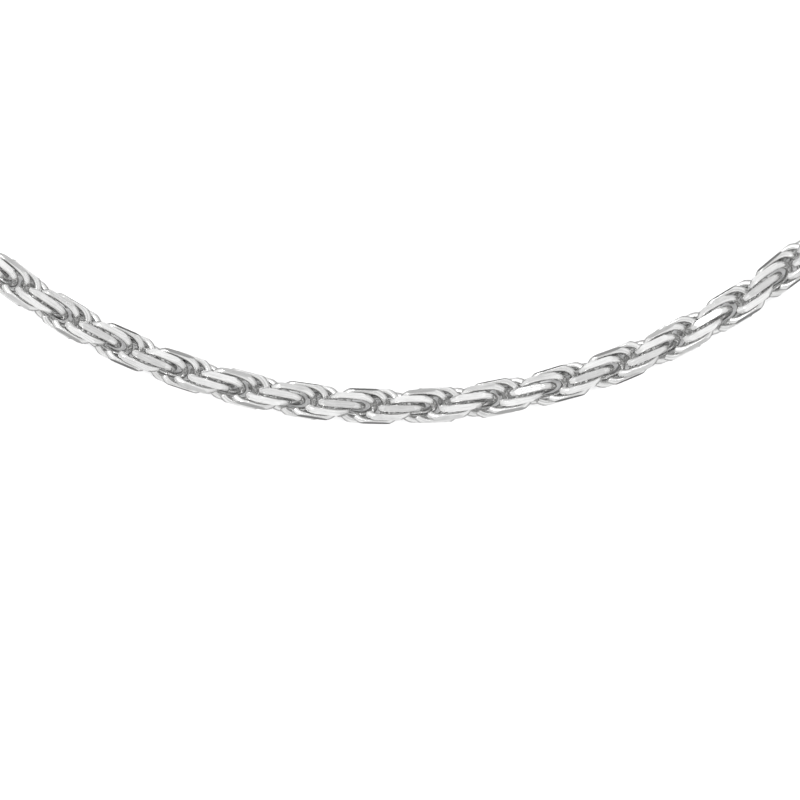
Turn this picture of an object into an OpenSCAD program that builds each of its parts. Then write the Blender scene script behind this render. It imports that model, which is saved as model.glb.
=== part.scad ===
// Diamond-cut rope chain necklace with a lobster clasp, laid open on a table.
// The origin is on the table under the middle of the neck loop. +Z is up, and the
// middle of the front drape is at -Y. Each link is an open oval ring of round wire.
// Every link is one twist step on from the link before it, so that the rings nest
// in each other and their long sides make the two strands of the rope.

/* [Neck loop] */
// Radius of the loop, measured to the middle of the rope
loop_r = 75; // [60:1:120]
// Height of the middle of the rope above the table
rope_z = 2.12; // [2.12:0.02:2.4]

/* [Rope link] */
// Diameter of the round wire
wire_d = 0.85; // [0.5:0.01:0.86]
// Bend radius of a link's round ends, to the middle of the wire
bend_r = 1.86; // [1.84:0.01:1.9]
// Length of a link's straight sides
side_l = 1.7; // [1.6:0.02:1.8]
// Angle of the opening in a link's near end, where an earlier link sits
gap_angle = 80; // [76:1:84]
// Distance along the rope from one link to the next
link_pitch = 1.427; // [1.4:0.001:1.45]
// Turn about the rope from one link to the next
link_twist = 34.1; // [33.5:0.1:34.6]
// Width across the two flats that are cut on each link
cut_w = 4.16; // [4:0.02:4.5]

/* [Segments] */
// Links in one rigid length of rope
segment_links = 6; // [4:1:8]
// Rigid lengths in the right arm, which carries the clasp
right_segments = 24; // [4:1:24]
// Rigid lengths in the left arm
left_segments = 25; // [4:1:25]

/* [End links and rings] */
// Extra length of the two end links
end_extra = 1.2; // [0.9:0.1:1.6]
// Diameter of the jump rings' wire
ring_wire = 0.8; // [0.6:0.05:0.8]
// Radius of the jump rings, to the middle of the wire
ring_r = 1.7; // [1.65:0.05:1.7]
// Room between an end link's wire and the ring that hangs in it
ring_room = 0.12; // [0.08:0.02:0.2]

/* [Clasp] */
// Height of the clasp's body
clasp_h = 2.4; // [2.3:0.1:2.6]
// Distance from the eye to the middle of the hook
hook_x = 6.6; // [6.2:0.1:7.2]
// Outer radius of the hook
hook_outer_r = 2.9; // [2.7:0.1:3.1]
// Inner radius of the hook
hook_inner_r = 1.75; // [1.6:0.05:1.8]
// Radius of the hole in the eye
eye_hole_r = 0.85; // [0.85:0.01:0.9]
// Outer radius of the eye
eye_outer_r = 1.5; // [1.45:0.05:1.55]
// Radius of the rivet that the gate turns on
rivet_r = 0.34; // [0.3:0.01:0.36]

/* [Hidden] */
$fn = 64;
// Link 0 is the first link left of the middle pair; these set where the pattern starts.
first_phase = -7.9;
middle_offset = 0.6;
root_first = -3;
root_last = root_first + segment_links - 1;
right_end = 145;
left_end = -155;
cut_block = 8;
// How far an end link's outer wire and its ring's middle are from the end link's middle.
end_wire_x = side_l / 2 + bend_r + end_extra;
ring_x = end_wire_x - wire_d / 2 - ring_wire / 2 - ring_room + ring_r;
// The shank's half-width at places along it, from the eye to the hook.
shank_outline = [[1.05, 0.9], [2.2, 1.3], [4.6, 2.1], [5.2, 2.4]];
eye_h = 1.1;
// The hook's mouth, as angles about the hook's middle. The gate turns about the rivet,
// and the nose is cut to an arc about the rivet that the gate's tip swings clear of.
hook_mid_r = (hook_outer_r + hook_inner_r) / 2;
mouth_back_angle = 128;
mouth_front_angle = 40;
mouth_far = 5;
pivot_angle = 155;
pivot_x = hook_x + hook_mid_r * cos(pivot_angle);
pivot_y = hook_mid_r * sin(pivot_angle);
nose_reach = 3.25;
gate_reach = 3.15;
// The gate runs in a slot between two cheeks.
gate_h = 0.9;
gate_w = 0.8;
gate_boss_r = 0.75;
gate_play = 0.03;
gate_tip_angle = 50;
tab_x = pivot_x - 0.8;
tab_y = 2.6;
tab_r = 0.45;
// Where the tab's web leaves the boss, as an angle about the rivet.
tab_web_angle = 45;
slot_h = 1.0;
slot_z = (clasp_h - slot_h) / 2;
slot_x = 2.7;
slot_floor_y = -0.45;
slot_floor_end_x = 4.95;
slot_step_y = 0.35;
slot_end_x = 6.1;
// A cut runs this far past what it cuts.
past = 4;
// The spring is a strip with one bend, whose free end comes up to the gate's boss.
spring_t = 0.16;
spring_w = 0.7;
spring_x = 2.95;
spring_y = -0.4;
spring_flat = 1.45;
spring_run = 0.4;
spring_rise = 0.52;
spring_slope = atan2(spring_rise, spring_run);

function two(i) = i < 10 ? str("0", i) : str(i);
function right_name(i) = str("chain_right_", two(i));
function left_name(i) = str("chain_left_", two(i));
function right_first(i) = root_last + 1 + segment_links * (i - 1);
function right_last(i) = i == right_segments ? right_end - 1 : right_first(i + 1) - 1;
function left_last(i) = root_first - 1 - segment_links * (i - 1);
function left_first(i) = i == left_segments ? left_end + 1 : left_last(i + 1) + 1;

// Moves what is drawn at the origin to link n's place, with X along the rope, Y towards
// the middle of the loop and Z up.
module at_link(n) {
    along = (n + middle_offset) * link_pitch;
    translate([0, 0, rope_z])
        rotate([0, 0, along / loop_r * 180 / PI])
            translate([0, -loop_r, 0])
                children();
}

// Turns a link's flat shape about the rope to link n's place in the twist.
module twisted(n) {
    rotate([90 - first_phase - link_twist * n, 0, 0])
        children();
}

// A bend of the link's wire about Z, from one angle to another.
module wire_bend(from, to, r = bend_r, d = wire_d) {
    rotate([0, 0, from])
        rotate_extrude(angle = to - from)
            translate([r, 0])
                circle(d = d);
}

// The link's two straight sides, longer by an amount at each end.
module wire_sides(extra_left, extra_right) {
    for (side = [-1, 1])
        translate([-side_l / 2 - extra_left, side * bend_r, 0])
            rotate([0, 90, 0])
                cylinder(d = wire_d, h = side_l + extra_left + extra_right);
}

// One link, flat in XY with its opening at -X and a flat cut on each long side.
module link(extra_left = 0, extra_right = 0, opening = gap_angle) {
    difference() {
        union() {
            wire_sides(extra_left, extra_right);
            translate([side_l / 2 + extra_right, 0, 0])
                wire_bend(-90, 90);
            translate([-side_l / 2 - extra_left, 0, 0])
                if (opening > 0) {
                    wire_bend(90, 180 - opening / 2);
                    wire_bend(180 + opening / 2, 270);
                } else {
                    wire_bend(90, 270);
                }
        }
        for (side = [-1, 1])
            translate([0, side * (cut_w + cut_block) / 2, 0])
                cube([2 * cut_block, cut_block, cut_block], center = true);
    }
}

// A rigid length of rope, from one link number to another.
module rope(from, to) {
    color("silver")
        for (n = [from:to])
            at_link(n)
                twisted(n)
                    link();
}

module right_end_link() {
    color("silver")
        at_link(right_end)
            twisted(right_end)
                link(extra_right = end_extra);
}

module left_end_link() {
    color("silver")
        at_link(left_end)
            twisted(left_end)
                link(extra_left = end_extra, opening = 0);
}

// A jump ring that hangs in an end link, square to it; side is 1 right and -1 left.
module jump_ring(n, side) {
    color("gainsboro")
        at_link(n)
            twisted(n)
                translate([side * ring_x, 0, 0])
                    rotate([90, 0, 0])
                        rotate_extrude()
                            translate([ring_r, 0])
                                circle(d = ring_wire);
}

module right_jump_ring() {
    jump_ring(right_end, 1);
}

module left_jump_ring() {
    jump_ring(left_end, -1);
}

// Moves the clasp, drawn with its eye at the origin and its underside on XY, to the
// far side of the right jump ring.
module at_clasp() {
    at_link(right_end)
        translate([ring_x + ring_r, 0, -rope_z])
            children();
}

// The clasp's outline seen from above: a tapered shank and a round hook.
module clasp_outline() {
    last = len(shank_outline) - 1;
    translate([hook_x, 0])
        circle(r = hook_outer_r);
    polygon(concat(
        shank_outline,
        [for (i = [last:-1:0]) [shank_outline[i][0], -shank_outline[i][1]]]
    ));
}

// What the hook leaves open: its round hole, and the mouth between shank and nose.
module clasp_mouth() {
    translate([hook_x, 0])
        circle(r = hook_inner_r);
    intersection() {
        translate([hook_x, 0])
            polygon([[0, 0],
                     [mouth_far * cos(mouth_front_angle), mouth_far * sin(mouth_front_angle)],
                     [mouth_far * cos(mouth_back_angle), mouth_far * sin(mouth_back_angle)]]);
        translate([pivot_x, pivot_y])
            circle(r = nose_reach);
    }
}

// The slot in the shank, open on the gate's side, with room for the spring at its floor.
module clasp_slot() {
    translate([slot_x, slot_floor_y, slot_z])
        cube([slot_floor_end_x - slot_x, past, slot_h]);
    translate([slot_x, slot_step_y, slot_z])
        cube([slot_end_x - slot_x, past, slot_h]);
}

module clasp_body() {
    color("silver")
        at_clasp()
            difference() {
                union() {
                    linear_extrude(clasp_h)
                        difference() {
                            clasp_outline();
                            clasp_mouth();
                        }
                    translate([0, 0, clasp_h - eye_h])
                        cylinder(r = eye_outer_r, h = eye_h);
                }
                translate([0, 0, -past])
                    cylinder(r = eye_hole_r, h = clasp_h + 2 * past);
                clasp_slot();
                translate([pivot_x, pivot_y, -past])
                    cylinder(r = rivet_r, h = clasp_h + 2 * past);
            }
}

// The gate's curved arm, cut off where its tip swings past the nose.
module gate_arm() {
    intersection() {
        translate([hook_x, 0, gate_h / 2])
            rotate([0, 0, gate_tip_angle])
                rotate_extrude(angle = pivot_angle - gate_tip_angle)
                    translate([hook_mid_r, 0])
                        square([gate_w, gate_h], center = true);
        translate([pivot_x, pivot_y, -past])
            cylinder(r = gate_reach, h = gate_h + 2 * past);
    }
}

// The gate's thumb tab, on a web that rises from the boss.
module gate_tab() {
    linear_extrude(gate_h)
        polygon([[pivot_x - gate_boss_r, pivot_y],
                 [tab_x - tab_r, tab_y],
                 [tab_x + tab_r, tab_y],
                 [pivot_x + gate_boss_r * cos(tab_web_angle),
                  pivot_y + gate_boss_r * sin(tab_web_angle)]]);
    translate([tab_x, tab_y, 0])
        cylinder(r = tab_r, h = gate_h);
}

// The sprung gate that closes the mouth: a boss on the rivet, an arm and a tab.
module clasp_gate() {
    color("silver")
        at_clasp()
            translate([0, 0, (clasp_h - gate_h) / 2])
                difference() {
                    union() {
                        gate_arm();
                        translate([pivot_x, pivot_y, 0])
                            cylinder(r = gate_boss_r, h = gate_h);
                        gate_tab();
                    }
                    translate([pivot_x, pivot_y, -past])
                        cylinder(r = rivet_r + gate_play, h = gate_h + 2 * past);
                }
}

// The rivet, flush with both faces of the body.
module clasp_rivet() {
    color("gray")
        at_clasp()
            translate([pivot_x, pivot_y, 0])
                cylinder(r = rivet_r, h = clasp_h);
}

// A bent leaf on the slot's floor, with its free end up against the gate's boss.
module clasp_spring() {
    tip = [spring_flat + spring_run, spring_rise];
    color("dimgray")
        at_clasp()
            translate([spring_x, spring_y, (clasp_h - spring_w) / 2])
                linear_extrude(spring_w)
                    polygon([[0, 0], [spring_flat, 0], tip,
                             tip + spring_t * [-sin(spring_slope), cos(spring_slope)],
                             [spring_flat - spring_t * tan(spring_slope / 2), spring_t],
                             [0, spring_t]]);
}

rope(root_first, root_last);  // chain_centre
for (i = [1:right_segments])
    rope(right_first(i), right_last(i));
for (i = [1:left_segments])
    rope(left_first(i), left_last(i));
right_end_link();
left_end_link();
right_jump_ring();
left_jump_ring();
clasp_body();
clasp_gate();
clasp_rivet();
clasp_spring();
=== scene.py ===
"""A diamond-cut rope chain necklace with a lobster clasp, laid open on a pale table.

Lengths are in metres. The rope is a row of open oval links of round wire, each one a
twist step on from the link before it. The places of the links and the rings are worked
out again here from the CAD model's driving sizes. The clasp starts from its CAD nodes.
"""

import math
import random

import bmesh
import bpy
import numpy as np
from mathutils import Matrix, Vector
from mathutils.bvhtree import BVHTree


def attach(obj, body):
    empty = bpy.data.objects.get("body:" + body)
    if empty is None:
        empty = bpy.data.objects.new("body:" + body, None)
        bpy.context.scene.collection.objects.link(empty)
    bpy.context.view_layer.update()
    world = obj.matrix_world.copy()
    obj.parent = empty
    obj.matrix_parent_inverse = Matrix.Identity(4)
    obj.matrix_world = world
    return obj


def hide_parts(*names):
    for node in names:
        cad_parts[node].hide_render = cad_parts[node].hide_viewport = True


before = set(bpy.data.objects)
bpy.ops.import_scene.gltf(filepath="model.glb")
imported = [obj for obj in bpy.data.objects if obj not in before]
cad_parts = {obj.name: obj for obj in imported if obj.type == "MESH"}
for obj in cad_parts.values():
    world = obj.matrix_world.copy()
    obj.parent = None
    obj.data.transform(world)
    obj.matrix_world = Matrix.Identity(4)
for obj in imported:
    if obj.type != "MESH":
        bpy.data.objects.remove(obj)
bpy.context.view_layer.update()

MM = 0.001

# ---- Driving sizes, as in the CAD model ----
LOOP_R = 75 * MM
ROPE_Z = 2.12 * MM
WIRE_D = 0.85 * MM
BEND_R = 1.86 * MM
SIDE_L = 1.7 * MM
GAP_ANGLE = math.radians(80)
LINK_PITCH = 1.427 * MM
LINK_TWIST = math.radians(34.1)
CUT_W = 4.16 * MM
FIRST_PHASE = math.radians(-7.9)
MIDDLE_OFFSET = 0.6
SEGMENT_LINKS = 6
RIGHT_SEGMENTS = 24
LEFT_SEGMENTS = 25
ROOT_FIRST = -3
ROOT_LAST = ROOT_FIRST + SEGMENT_LINKS - 1
RIGHT_END = 145
LEFT_END = -155
END_EXTRA = 1.2 * MM
RING_WIRE = 0.8 * MM
RING_R = 1.7 * MM
RING_ROOM = 0.12 * MM
END_WIRE_X = SIDE_L / 2 + BEND_R + END_EXTRA
RING_X = END_WIRE_X - WIRE_D / 2 - RING_WIRE / 2 - RING_ROOM + RING_R

# ---- Mesh detail ----
WIRE_STEPS = 24
BEND_STEP = math.radians(7.5)
SIDE_STEPS = 5
RING_STEPS = 64
RING_SEAM = math.radians(0.7)
LINK_VARIANTS = 6
END_ROUND = 0.07 * MM
# Faces with at least this many corners are the cut flats and the wire's cut ends.
FLAT_CORNERS = 6
# How much the hand-cut flats differ: two tilts, as slopes, and the extra depth in mm.
CUT_TILT_ALONG = 0.045
CUT_TILT_ACROSS = 0.07
CUT_DEPTH_MM = (0.012, 0.045)
# How near the cutting plane a vertex counts as on it.
CUT_SLACK = 1e-9
# A link's shade is measured with rays from just off its surface to the links around it.
SHADE_RAYS = 96
SHADE_REACH = 2.2 * MM
SHADE_LIFT = 0.004 * MM
SHADE_LINKS = 7
# Each link starts at its own place along the drawn wire, up to this far along.
WIRE_SHIFT = 200 * MM

WIRE_SLOT, CUT_SLOT = 0, 1

SEED = 7
rng = random.Random(SEED)


# ---- Places along the rope ----
def link_place(n):
    """Link n's frame: X along the rope, Y across the link's long sides."""
    along = (n + MIDDLE_OFFSET) * LINK_PITCH
    turn = Matrix.Rotation(along / LOOP_R, 4, "Z")
    twist = Matrix.Rotation(math.pi / 2 - FIRST_PHASE - LINK_TWIST * n, 4, "X")
    middle = Matrix.Translation((0, 0, ROPE_Z))
    return middle @ turn @ Matrix.Translation((0, -LOOP_R, 0)) @ twist


def straight_place(k):
    """The same frame for the k-th link along a straight rope, in the middle link's own frame."""
    return Matrix.Translation((k * LINK_PITCH, 0, 0)) @ Matrix.Rotation(-LINK_TWIST * k, 4, "X")


# ---- Link meshes ----
def bend_points(start, stop, middle_x):
    """Points and outward directions round an end bend, without the last one."""
    steps = max(1, round((stop - start) / BEND_STEP))
    for i in range(steps):
        angle = start + (stop - start) * i / steps
        out = Vector((math.cos(angle), math.sin(angle), 0))
        yield Vector((middle_x, 0, 0)) + out * BEND_R, out


def side_points(side, start_x, stop_x):
    """Points and outward directions along a straight side, without the last one."""
    for i in range(SIDE_STEPS):
        x = start_x + (stop_x - start_x) * i / SIDE_STEPS
        yield Vector((x, side * BEND_R, 0)), Vector((0, side, 0))


def link_path(extra_left, extra_right, opening):
    """The middle line of a link's wire, from one side of its opening round to the other."""
    left, right = -SIDE_L / 2 - extra_left, SIDE_L / 2 + extra_right
    points = list(bend_points(math.pi + opening / 2, 1.5 * math.pi, left))
    points += side_points(-1, left, right)
    points += bend_points(-math.pi / 2, math.pi / 2, right)
    points += side_points(1, right, left)
    end = math.pi - opening / 2
    points += bend_points(math.pi / 2, end, left)
    if opening > 0:
        out = Vector((math.cos(end), math.sin(end), 0))
        points.append((Vector((left, 0, 0)) + out * BEND_R, out))
    return points


def tube(bm, path, wire_d, closed):
    """Sweeps a round wire along a flat path, with eased cut ends where it is open."""
    rings = [(point, out, wire_d / 2) for point, out in path]
    if not closed:
        for end, step in ((0, 1), (-1, -1)):
            point, out, r = rings[end]
            inward = (rings[end + step][0] - point).normalized() * END_ROUND
            rings[end] = (point + inward, out, r)
            tip = (point, out, r - END_ROUND)
            rings = [tip] + rings if end == 0 else rings + [tip]
    loops = []
    for point, out, r in rings:
        loop = []
        for i in range(WIRE_STEPS):
            angle = 2 * math.pi * (i + 0.5) / WIRE_STEPS
            at = point + out * (r * math.cos(angle)) + Vector((0, 0, r * math.sin(angle)))
            loop.append(bm.verts.new(at))
        loops.append(loop)
    pairs = list(zip(loops, loops[1:]))
    if closed:
        pairs.append((loops[-1], loops[0]))
    for one, two in pairs:
        for i in range(WIRE_STEPS):
            j = (i + 1) % WIRE_STEPS
            bm.faces.new((one[i], two[i], two[j], one[j]))
    if not closed:
        bm.faces.new(loops[0])
        bm.faces.new(reversed(loops[-1]))


def cut_flat(bm, side, tilt_x, tilt_z, depth):
    """Cuts a flat on one long side and marks its face."""
    normal = Vector((tilt_x, side, tilt_z)).normalized()
    at = Vector((0, side * (CUT_W / 2 - depth), 0))
    geom = bm.verts[:] + bm.edges[:] + bm.faces[:]
    cut = bmesh.ops.bisect_plane(
        bm, geom=geom, dist=CUT_SLACK, plane_co=at, plane_no=normal, clear_outer=True
    )
    rim = [e for e in cut["geom_cut"] if isinstance(e, bmesh.types.BMEdge)]
    filled = bmesh.ops.edgeloop_fill(bm, edges=rim)
    for face in filled["faces"]:
        face.material_index = CUT_SLOT


def wire_coords(verts, left, right, bend_r):
    """Each vertex's distance along the wire, out from its middle line, and above its plane."""
    x, y, z = verts.T
    right_turn = np.arctan2(y, x - right) + math.pi / 2
    left_turn = np.arctan2(y, x - left)
    half_round = math.pi * bend_r
    length = right - left
    # The right bend, the two halves of the left bend and the far side; the rest is the near side.
    regions = [x > right, (x < left) & (y > 0), x < left, y > 0]
    along = np.select(
        regions,
        [
            bend_r * right_turn,
            half_round + length + bend_r * (left_turn - math.pi / 2),
            bend_r * (left_turn + math.pi / 2) - length,
            half_round + right - x,
        ],
        x - right,
    )
    middle_x = np.clip(x, left, right)
    return np.column_stack([along, np.hypot(x - middle_x, y) - bend_r, z])


def wire_shape(bm, left, right, bend_r):
    """A finished wire's vertices, normals, faces, face slots and wire coordinates."""
    bmesh.ops.recalc_face_normals(bm, faces=bm.faces[:])
    bm.verts.index_update()
    bm.normal_update()
    verts = np.array([v.co[:] for v in bm.verts])
    shape = {
        "verts": verts,
        "normals": np.array([v.normal[:] for v in bm.verts]),
        "faces": [tuple(v.index for v in f.verts) for f in bm.faces],
        "slots": [f.material_index for f in bm.faces],
        "wire": wire_coords(verts, left, right, bend_r),
    }
    bm.free()
    return shape


def link_mesh(extra_left=0.0, extra_right=0.0, opening=GAP_ANGLE, uneven=1.0):
    """One link's shape, in its own frame; uneven of 0 leaves both flats true."""
    bm = bmesh.new()
    tube(bm, link_path(extra_left, extra_right, opening), WIRE_D, closed=opening == 0)
    for side in (-1, 1):
        tilt_x = uneven * rng.uniform(-CUT_TILT_ALONG, CUT_TILT_ALONG)
        tilt_z = uneven * rng.uniform(-CUT_TILT_ACROSS, CUT_TILT_ACROSS)
        depth = uneven * rng.uniform(*CUT_DEPTH_MM) * MM
        cut_flat(bm, side, tilt_x, tilt_z, depth)
    return wire_shape(bm, -SIDE_L / 2 - extra_left, SIDE_L / 2 + extra_right, BEND_R)


# ---- How open each point of a link is to the light ----
def sky_directions(count):
    """Directions spread evenly over a sphere."""
    golden = math.pi * (3 - math.sqrt(5))
    directions = []
    for i in range(count):
        z = 1 - 2 * (i + 0.5) / count
        r = math.sqrt(1 - z * z)
        directions.append(Vector((r * math.cos(golden * i), r * math.sin(golden * i), z)))
    return directions


def openness(shape, neighbours):
    """For each vertex, the share of the directions off its surface that meet no neighbour."""
    tree_verts, tree_faces = [], []
    for place, other in neighbours:
        base = len(tree_verts)
        tree_verts += [place @ Vector(v) for v in other["verts"]]
        tree_faces += [tuple(base + i for i in f) for f in other["faces"]]
    tree = BVHTree.FromPolygons(tree_verts, tree_faces)
    directions = sky_directions(SHADE_RAYS)
    result = []
    for vert, normal in zip(shape["verts"], shape["normals"]):
        normal = Vector(normal)
        start = Vector(vert) + normal * SHADE_LIFT
        seen = total = 0.0
        for way in directions:
            weight = way.dot(normal)
            if weight <= 0:
                continue
            total += weight
            if tree.ray_cast(start, way, SHADE_REACH)[0] is None:
                seen += weight
        result.append(seen / total if total else 1.0)
    return np.array(result)


def place_array(place, verts):
    """Vertices moved by a 4 × 4 place."""
    m = np.array(place)
    return verts @ m[:3, :3].T + m[:3, 3]


plain_link = link_mesh(uneven=0.0)
both_ways = [k for k in range(-SHADE_LINKS, SHADE_LINKS + 1) if k != 0]
neighbours = [(straight_place(k), plain_link) for k in both_ways]

link_shapes = [link_mesh() for _ in range(LINK_VARIANTS)]
# Each shape's shade is later painted into the silver's base colour as painted shade.
for shape in link_shapes:
    shape["shade"] = openness(shape, neighbours + [(Matrix.Identity(4), shape)])


def end_link(extra_left, extra_right, opening, side):
    """An end link's shape, open to the light on the side that faces the clasp."""
    shape = link_mesh(extra_left, extra_right, opening)
    near = [(straight_place(-side * k), plain_link) for k in range(1, SHADE_LINKS + 1)]
    shape["shade"] = openness(shape, near + [(Matrix.Identity(4), shape)])
    return shape


# ---- Making pieces ----
def piece_mesh(name, parts, materials):
    """One object from placed shapes, with shade and wire attributes on its vertices."""
    verts, faces, slots, shade, wire = [], [], [], [], []
    base = 0
    for place, shape in parts:
        verts.append(place_array(place, shape["verts"]))
        faces += [tuple(base + i for i in f) for f in shape["faces"]]
        slots += shape["slots"]
        shade.append(shape["shade"])
        wire.append(shape["wire"] + (rng.uniform(0, WIRE_SHIFT), 0, 0))
        base += len(shape["verts"])
    mesh = bpy.data.meshes.new(name)
    mesh.from_pydata(np.concatenate(verts).tolist(), [], faces)
    mesh.polygons.foreach_set("material_index", slots)
    # Quads are smooth. The flats, the wire's ends and what a cut left with 3 or 5 corners aren't.
    mesh.polygons.foreach_set("use_smooth", [len(f) == 4 for f in faces])
    sharp = np.zeros(len(mesh.edges), bool)
    loop_edges = np.zeros(len(mesh.loops), np.int32)
    mesh.loops.foreach_get("edge_index", loop_edges)
    for face in mesh.polygons:
        if face.loop_total >= FLAT_CORNERS:
            sharp[loop_edges[face.loop_start : face.loop_start + face.loop_total]] = True
    mesh.attributes.new("sharp_edge", "BOOLEAN", "EDGE").data.foreach_set("value", sharp)
    attribute = mesh.attributes.new("shade", "FLOAT", "POINT")
    attribute.data.foreach_set("value", np.concatenate(shade).astype(np.float32))
    attribute = mesh.attributes.new("wire", "FLOAT_VECTOR", "POINT")
    attribute.data.foreach_set("vector", np.concatenate(wire).astype(np.float32).ravel())
    for material in materials:
        mesh.materials.append(material)
    mesh.validate()
    mesh.update()
    piece = bpy.data.objects.new(name, mesh)
    bpy.context.scene.collection.objects.link(piece)
    return piece


# ---- Materials ----
SILVER_BRIGHT = (0.93, 0.93, 0.925)
CUT_BRIGHT = (0.97, 0.97, 0.965)
# The dark end of the mix is reached only in the painted shade; the clouds and drawing lines
# darken the metal a little towards it.
SILVER_DARK = (0.04, 0.04, 0.042)
STEEL_DARK = (0.1, 0.1, 0.1)
# The middle part of a noise value's range, which is spread over the whole effect.
NOISE_MIDDLE = (0.3, 0.7)
# Soft clouds in the tone, down to this share of it; noise scales are per metre.
CLOUD_SCALE = 900.0
CLOUD_TONE = 0.9
# A fine grain in the gloss, and its share of the relief.
FINE_SCALE = 9000.0
FINE_RELIEF = 0.5
RELIEF = 0.02 * MM
# Polishing lines on pieces that aren't drawn wire.
POLISH_SCALE = 2600.0
POLISH_STRETCH = (1, 1, 9)
# Lines left by drawing the wire: how fine they are, and how long against their width.
DRAWN_SCALE = 6500.0
DRAWN_STRETCH = (0.07, 1, 1)
DRAWN_RANGE = (0.35, 0.6)
# Painted shade is full where less than the first share of the sky is seen, and gone at the
# second.
PAINTED_SHADE_RANGE = (0.1, 0.28)
# Extra roughness where the colour is darker, from the clouds, the drawing lines and the painted
# shade.
ROUGHER_WHERE_DARK = 0.25


class Nodes:
    """Short calls for making a material's node tree."""

    def __init__(self, name):
        self.material = bpy.data.materials.new(name)
        self.material.use_nodes = True
        self.tree = self.material.node_tree
        self.shader = self.tree.nodes["Principled BSDF"]
        self.shader.inputs["Metallic"].default_value = 1.0

    def add(self, kind, inputs=None, **settings):
        node = self.tree.nodes.new(kind)
        for key, value in settings.items():
            setattr(node, key, value)
        for key, value in (inputs or {}).items():
            if isinstance(value, bpy.types.NodeSocket):
                self.tree.links.new(value, node.inputs[key])
            else:
                node.inputs[key].default_value = value
        return node

    def spread(self, value, source, target):
        """Maps a value from one range to another, held at both ends."""
        ranges = {
            "Value": value,
            "From Min": source[0],
            "From Max": source[1],
            "To Min": target[0],
            "To Max": target[1],
        }
        return self.add("ShaderNodeMapRange", ranges).outputs["Result"]

    def attribute(self, name, output):
        return self.add("ShaderNodeAttribute", attribute_name=name).outputs[output]

    def noise(self, scale, detail, stretch=(1, 1, 1), where=None):
        where = where or self.add("ShaderNodeTexCoord").outputs["Object"]
        where = self.add("ShaderNodeMapping", {"Vector": where, "Scale": stretch}).outputs[0]
        return self.add(
            "ShaderNodeTexNoise", {"Vector": where, "Scale": scale, "Detail": detail}
        ).outputs["Fac"]

    def math(self, operation, one, two):
        return self.add("ShaderNodeMath", {0: one, 1: two}, operation=operation).outputs[0]

    def mix(self, fac, one, two):
        """A colour between two colours; the node's colour sockets are known by number."""
        node = self.add("ShaderNodeMix", data_type="RGBA")
        self.tree.links.new(fac, node.inputs["Factor"])
        node.inputs[6].default_value = (*one, 1)
        node.inputs[7].default_value = (*two, 1)
        return node.outputs[2]

    def set(self, socket, value):
        self.tree.links.new(value, self.shader.inputs[socket])

    def bump(self, heights, strength, distance):
        """Adds surface relief from a height that runs from 0 to 1."""
        node = self.add(
            "ShaderNodeBump", {"Height": heights, "Strength": strength, "Distance": distance}
        )
        self.tree.links.new(node.outputs["Normal"], self.shader.inputs["Normal"])


def polished(name, bright, dark, roughness, scratch, drawn=0.0, shaded=False):
    """Polished metal, with lines along drawn wire, and painted shade where the links around hide
    the sky.

    roughness is its lowest and highest value, scratch is the relief's strength, drawn is how
    much the drawing lines darken the metal, and shaded brings in painted shade in the crevices.
    """
    nodes = Nodes(name)
    clouds = nodes.noise(CLOUD_SCALE, detail=4.0)
    fine = nodes.noise(FINE_SCALE, detail=5.0)
    tone_and_shade = nodes.spread(clouds, NOISE_MIDDLE, (CLOUD_TONE, 1.0))
    if drawn > 0:
        wire = nodes.attribute("wire", "Vector")
        lines = nodes.noise(DRAWN_SCALE, detail=2.0, stretch=DRAWN_STRETCH, where=wire)
        drawn_tone = nodes.spread(lines, DRAWN_RANGE, (1 - drawn, 1.0))
        tone_and_shade = nodes.math("MULTIPLY", tone_and_shade, drawn_tone)
    else:
        lines = nodes.noise(POLISH_SCALE, detail=3.0, stretch=POLISH_STRETCH)
    # Painted shade: the base colour goes dark where the links around hide the sky, where shade
    # would fall.
    if shaded:
        open_share = nodes.attribute("shade", "Fac")
        painted_lit_share = nodes.spread(open_share, PAINTED_SHADE_RANGE, (0.0, 1.0))
        tone_and_shade = nodes.math("MULTIPLY", painted_lit_share, tone_and_shade)
    nodes.set("Base Color", nodes.mix(tone_and_shade, dark, bright))
    dull = nodes.math("MULTIPLY", nodes.math("SUBTRACT", 1.0, tone_and_shade), ROUGHER_WHERE_DARK)
    nodes.set("Roughness", nodes.math("ADD", nodes.spread(fine, NOISE_MIDDLE, roughness), dull))
    height = nodes.math("ADD", nodes.math("MULTIPLY", fine, FINE_RELIEF), lines)
    nodes.bump(height, scratch, RELIEF)
    return nodes.material


wire_silver = polished(
    "wire_silver", SILVER_BRIGHT, SILVER_DARK, (0.15, 0.27), scratch=0.5, drawn=0.2, shaded=True
)
cut_silver = polished(
    "cut_silver", CUT_BRIGHT, SILVER_DARK, (0.06, 0.14), scratch=0.2, drawn=0.12, shaded=True
)
ring_silver = polished(
    "ring_silver", SILVER_BRIGHT, SILVER_DARK, (0.14, 0.24), scratch=0.4, drawn=0.12
)
clasp_silver = polished(
    "clasp_silver", (0.92, 0.92, 0.915), SILVER_DARK, (0.16, 0.28), scratch=0.3
)
rivet_steel = polished("rivet_steel", (0.62, 0.63, 0.65), STEEL_DARK, (0.3, 0.42), scratch=0.5)
spring_steel = polished("spring_steel", (0.5, 0.51, 0.53), STEEL_DARK, (0.3, 0.45), scratch=0.5)


# ---- The rope ----
def rope_piece(node, first, last):
    """The links that a CAD node holds, as one piece; its body has the node's name."""
    parts = [(link_place(n), rng.choice(link_shapes)) for n in range(first, last + 1)]
    piece = piece_mesh(f"{node}_links", parts, (wire_silver, cut_silver))
    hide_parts(node)
    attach(piece, node)


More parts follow.
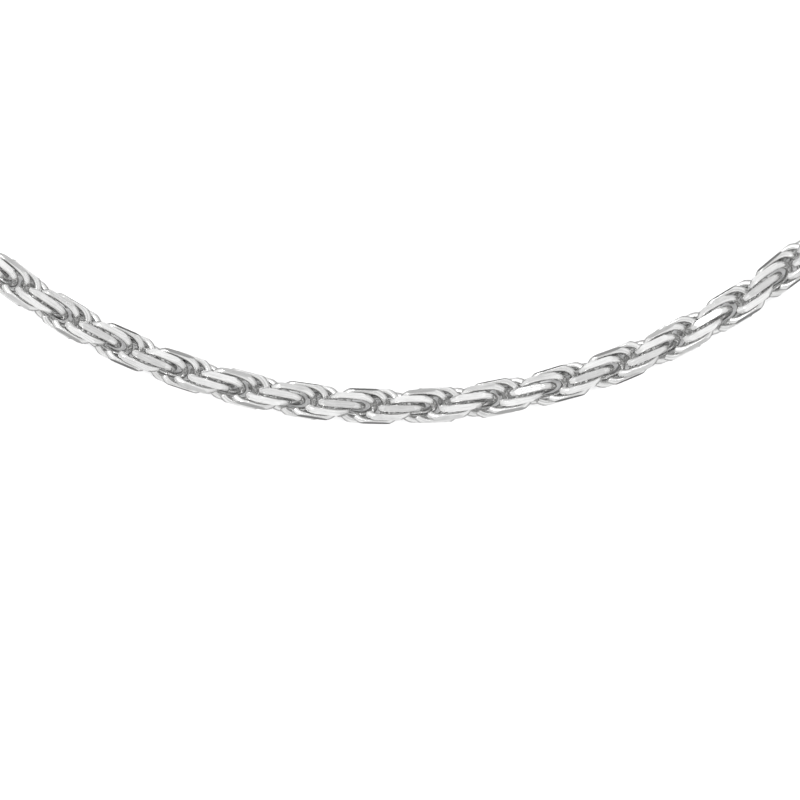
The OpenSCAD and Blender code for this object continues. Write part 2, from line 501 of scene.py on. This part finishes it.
rope_piece("chain_centre", ROOT_FIRST, ROOT_LAST)
for i in range(1, RIGHT_SEGMENTS + 1):
    first = ROOT_LAST + 1 + SEGMENT_LINKS * (i - 1)
    last = RIGHT_END - 1 if i == RIGHT_SEGMENTS else first + SEGMENT_LINKS - 1
    rope_piece(f"chain_right_{i:02d}", first, last)
for i in range(1, LEFT_SEGMENTS + 1):
    last = ROOT_FIRST - 1 - SEGMENT_LINKS * (i - 1)
    first = LEFT_END + 1 if i == LEFT_SEGMENTS else last - SEGMENT_LINKS + 1
    rope_piece(f"chain_left_{i:02d}", first, last)

RIGHT_BODY = f"chain_right_{RIGHT_SEGMENTS:02d}"
LEFT_BODY = f"chain_left_{LEFT_SEGMENTS:02d}"
# Node, body, link number, extra length to the left and right, opening, side of the necklace.
END_LINKS = (
    ("right_end_link", RIGHT_BODY, RIGHT_END, 0.0, END_EXTRA, GAP_ANGLE, 1),
    ("left_end_link", LEFT_BODY, LEFT_END, END_EXTRA, 0.0, 0.0, -1),
)
for node, body, n, extra_left, extra_right, opening, side in END_LINKS:
    shape = end_link(extra_left, extra_right, opening, side)
    piece = piece_mesh(f"{node}_wire", [(link_place(n), shape)], (wire_silver, cut_silver))
    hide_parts(node)
    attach(piece, body)


# ---- Jump rings ----
def jump_ring(node, n, side, seam_angle):
    """A wire ring with a fine butt joint at an angle round it, in link n's outer end."""
    path = []
    for i in range(RING_STEPS + 1):
        angle = RING_SEAM / 2 + (2 * math.pi - RING_SEAM) * i / RING_STEPS
        out = Vector((math.cos(angle), math.sin(angle), 0))
        path.append((out * RING_R, out))
    bm = bmesh.new()
    tube(bm, path, RING_WIRE, closed=False)
    shape = wire_shape(bm, 0.0, 0.0, RING_R)
    shape["shade"] = np.ones(len(shape["verts"]))
    seam_turn = Matrix.Rotation(math.radians(seam_angle), 4, "Z")
    upright = Matrix.Translation((side * RING_X, 0, 0)) @ Matrix.Rotation(math.pi / 2, 4, "X")
    place = link_place(n) @ upright @ seam_turn
    piece = piece_mesh(f"{node}_wire", [(place, shape)], (ring_silver,))
    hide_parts(node)
    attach(piece, node)


jump_ring("right_jump_ring", RIGHT_END, 1, seam_angle=200)
jump_ring("left_jump_ring", LEFT_END, -1, seam_angle=70)


# ---- Clasp ----
EASE_FACTOR = 0.5


def cast_piece(name, node, body, voxel, passes):
    """A CAD node's shape with the eased edges of a cast and tumbled piece; voxel is in mm."""
    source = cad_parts[node].data.copy()
    source.transform(Matrix.Scale(1 / MM, 4))
    rough = bpy.data.objects.new(f"{name}_rough", source)
    bpy.context.scene.collection.objects.link(rough)
    remesh = rough.modifiers.new("even", "REMESH")
    remesh.mode = "VOXEL"
    remesh.voxel_size = voxel
    smooth = rough.modifiers.new("ease", "SMOOTH")
    smooth.factor = EASE_FACTOR
    smooth.iterations = passes
    graph = bpy.context.evaluated_depsgraph_get()
    mesh = bpy.data.meshes.new_from_object(rough.evaluated_get(graph), depsgraph=graph)
    bpy.data.objects.remove(rough)
    mesh.transform(Matrix.Scale(MM, 4))
    mesh.name = name
    mesh.polygons.foreach_set("use_smooth", [True] * len(mesh.polygons))
    mesh.materials.clear()
    mesh.materials.append(clasp_silver)
    piece = bpy.data.objects.new(name, mesh)
    bpy.context.scene.collection.objects.link(piece)
    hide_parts(node)
    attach(piece, body)


cast_piece("clasp_body_cast", "clasp_body", "clasp", voxel=0.07, passes=45)
cast_piece("clasp_gate_cast", "clasp_gate", "clasp_gate", voxel=0.05, passes=20)
for node, material in (("clasp_rivet", rivet_steel), ("clasp_spring", spring_steel)):
    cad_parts[node].data.materials.clear()
    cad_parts[node].data.materials.append(material)


# ---- Stage, light and camera ----
TABLE_HALF = 3.0
TABLE_COLOUR = (0.9, 0.9, 0.9, 1)
TABLE_ROUGHNESS = 0.8
# The room's brightness at each height, from -1, straight below, to 1, overhead.
ROOM_LEVELS = (
    (-1.0, 0.03),
    (-0.75, 0.22),
    (-0.35, 0.58),
    (0.0, 0.82),
    (0.45, 1.0),
    (0.85, 0.97),
    (1.0, 0.71),
)
CAMERA_X = 0.935 * MM
CAMERA_Y = -74.24 * MM
CAMERA_HEIGHT = 0.6
CAMERA_LENS = 228
SENSOR_WIDTH = 36


def table_top():
    """A plain pale table that runs out to the horizon."""
    mesh = bpy.data.meshes.new("table_top")
    half = TABLE_HALF
    corners = [(-half, -half, 0), (half, -half, 0), (half, half, 0), (-half, half, 0)]
    mesh.from_pydata(corners, [], [(0, 1, 2, 3)])
    nodes = Nodes("table_white")
    nodes.shader.inputs["Metallic"].default_value = 0.0
    nodes.shader.inputs["Roughness"].default_value = TABLE_ROUGHNESS
    nodes.shader.inputs["Base Color"].default_value = TABLE_COLOUR
    mesh.materials.append(nodes.material)
    top = bpy.data.objects.new("table_top", mesh)
    top.visible_glossy = False
    bpy.context.scene.collection.objects.link(top)


def softbox(name, place, aim, width, depth, power, glossy=True):
    """A rectangular soft light out of the camera's sight, with or without a reflection."""
    data = bpy.data.lights.new(name, "AREA")
    data.shape = "RECTANGLE"
    data.size = width
    data.size_y = depth
    data.energy = power
    light = bpy.data.objects.new(name, data)
    light.location = place
    way = Vector(aim) - Vector(place)
    light.rotation_euler = way.to_track_quat("-Z", "Y").to_euler()
    light.visible_camera = False
    light.visible_glossy = glossy
    bpy.context.scene.collection.objects.link(light)


def studio_world():
    """A pale room that is brightest above the horizon and dark below."""
    world = bpy.data.worlds.new("studio")
    world.use_nodes = True
    tree = world.node_tree
    where = tree.nodes.new("ShaderNodeTexCoord")
    split = tree.nodes.new("ShaderNodeSeparateXYZ")
    share = tree.nodes.new("ShaderNodeMapRange")
    share.inputs["From Min"].default_value = -1.0
    ramp = tree.nodes.new("ShaderNodeValToRGB")
    marks = ramp.color_ramp.elements
    # The new marks' first positions don't matter.
    while len(marks) < len(ROOM_LEVELS):
        marks.new(0.5)
    for mark, (height, level) in zip(marks, ROOM_LEVELS):
        mark.position = (height + 1) / 2
        mark.color = (level, level, level, 1)
    tree.links.new(where.outputs["Generated"], split.inputs[0])
    tree.links.new(split.outputs["Z"], share.inputs["Value"])
    tree.links.new(share.outputs["Result"], ramp.inputs[0])
    tree.links.new(ramp.outputs[0], tree.nodes["Background"].inputs["Color"])
    bpy.context.scene.world = world


table_top()
studio_world()
softbox("overhead", (0, 0, 1.2), aim=(0, 0, 0), width=2.2, depth=2.2, power=28, glossy=False)
softbox("key", (-0.3, 0.25, 0.7), aim=(0, -0.05, 0), width=0.3, depth=0.3, power=1.6)

camera_data = bpy.data.cameras.new("camera")
camera_data.sensor_width = SENSOR_WIDTH
camera_data.lens = CAMERA_LENS
camera = bpy.data.objects.new("camera", camera_data)
camera.location = (CAMERA_X, CAMERA_Y, ROPE_Z + CAMERA_HEIGHT)
bpy.context.scene.collection.objects.link(camera)
bpy.context.scene.camera = camera
bpy.context.scene.view_settings.view_transform = "Standard"
